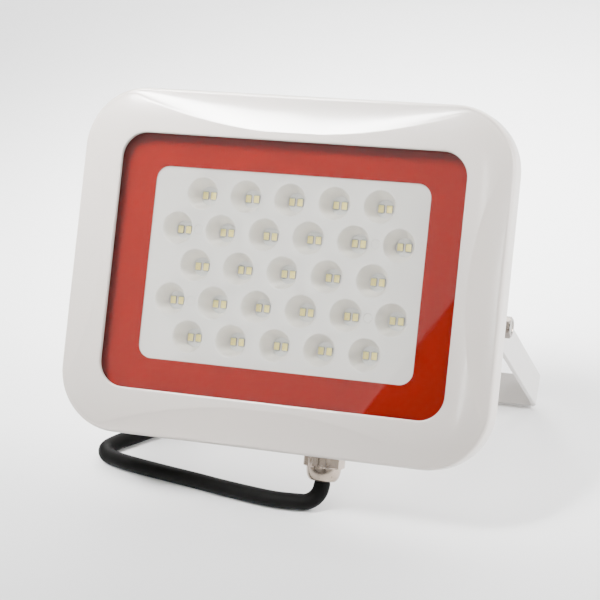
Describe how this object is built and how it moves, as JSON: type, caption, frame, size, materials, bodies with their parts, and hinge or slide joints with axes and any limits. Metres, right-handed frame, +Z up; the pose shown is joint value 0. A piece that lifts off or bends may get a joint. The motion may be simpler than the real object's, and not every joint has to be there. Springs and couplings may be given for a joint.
{
  "type": "led floodlight",
  "caption": "Slim rectangular LED floodlight with a wide rounded bezel, cupped reflector, bottom cable gland with a short lead, and a U bracket that tilts on side bolts.",
  "frame": {"origin": "bottom centre of the lamp's box as it stands on a floor, leaning back on its bracket, without the lead", "axes": "+X to the right of someone who looks at the lamp's front, +Y to the back, where the bracket's crossbar stands, +Z up"},
  "size_m": [0.1932, 0.125, 0.1635],
  "materials": {
    "white_paint": "satin warm-white powder coat",
    "bracket_paint": "satin white powder coat",
    "clear_glass": "clear toughened glass with a soft sheen",
    "red_print": "orange-red border print behind the glass",
    "grey_silicone": "light grey silicone",
    "white_reflector": "matt white moulding",
    "white_board": "aluminium board with a white mask and yellow chips",
    "thermal_pad": "soft blue-grey gap filler",
    "circuit_board": "green glass-fibre board",
    "black_plastic": "moulded black plastic",
    "copper_wire": "enamelled copper winding",
    "transformer_tape": "yellow winding tape over a ferrite core",
    "plated_steel": "nickel-plated steel",
    "nickel_plate": "bright nickel plate on brass",
    "black_rubber": "matt black rubber",
    "wire_sleeve": "coloured insulated cores, brown, blue and green-yellow"
  },
  "bodies": {
    "lamp": {"bezel": "white_paint", "bezel_gasket": "grey_silicone", "bezel_screw_1": "plated_steel", "bezel_screw_2": "plated_steel", "bezel_screw_3": "plated_steel", "bezel_screw_4": "plated_steel", "bezel_screw_5": "plated_steel", "bezel_screw_6": "plated_steel", "bezel_screw_7": "plated_steel", "bezel_screw_8": "plated_steel", "bolt_washer_left": "plated_steel", "bolt_washer_right": "plated_steel", "cover_screw_1": "plated_steel", "cover_screw_2": "plated_steel", "cover_screw_3": "plated_steel", "cover_screw_4": "plated_steel", "cover_screw_5": "plated_steel", "cover_screw_6": "plated_steel", "driver_board": "circuit_board", "driver_capacitor": "black_plastic", "driver_choke": "copper_wire", "driver_screw_1": "plated_steel", "driver_screw_2": "plated_steel", "driver_screw_3": "plated_steel", "driver_screw_4": "plated_steel", "driver_transformer": "transformer_tape", "friction_washer_left": "black_plastic", "friction_washer_right": "black_plastic", "gland_body": "nickel_plate", "gland_nut": "nickel_plate", "gland_seal": "black_rubber", "gland_washer": "black_rubber", "glass": "clear_glass", "glass_gasket": "grey_silicone", "glass_print": "red_print", "housing": "white_paint", "inner_lead": "black_rubber", "lead": "black_rubber", "lead_core_1": "wire_sleeve", "lead_core_2": "wire_sleeve", "lead_core_3": "wire_sleeve", "led_board": "white_board", "led_wire_1": "wire_sleeve", "led_wire_2": "wire_sleeve", "pivot_bolt_left": "plated_steel", "pivot_bolt_right": "plated_steel", "rear_cover": "white_paint", "rear_gasket": "grey_silicone", "reflector": "white_reflector", "reflector_pin_1": "white_reflector", "reflector_pin_2": "white_reflector", "reflector_pin_3": "white_reflector", "reflector_pin_4": "white_reflector", "terminal_block": "black_plastic", "thermal_pad": "thermal_pad"},
    "bracket": {"bracket": "bracket_paint"}
  },
  "joints": [
    {"name": "bracket_tilt", "type": "hinge", "parent": "lamp", "child": "bracket", "pos_m": [0, -0.00766, 0.07442], "axis": [1, 0, 0], "range_deg": [-42, 105]}
  ]
}
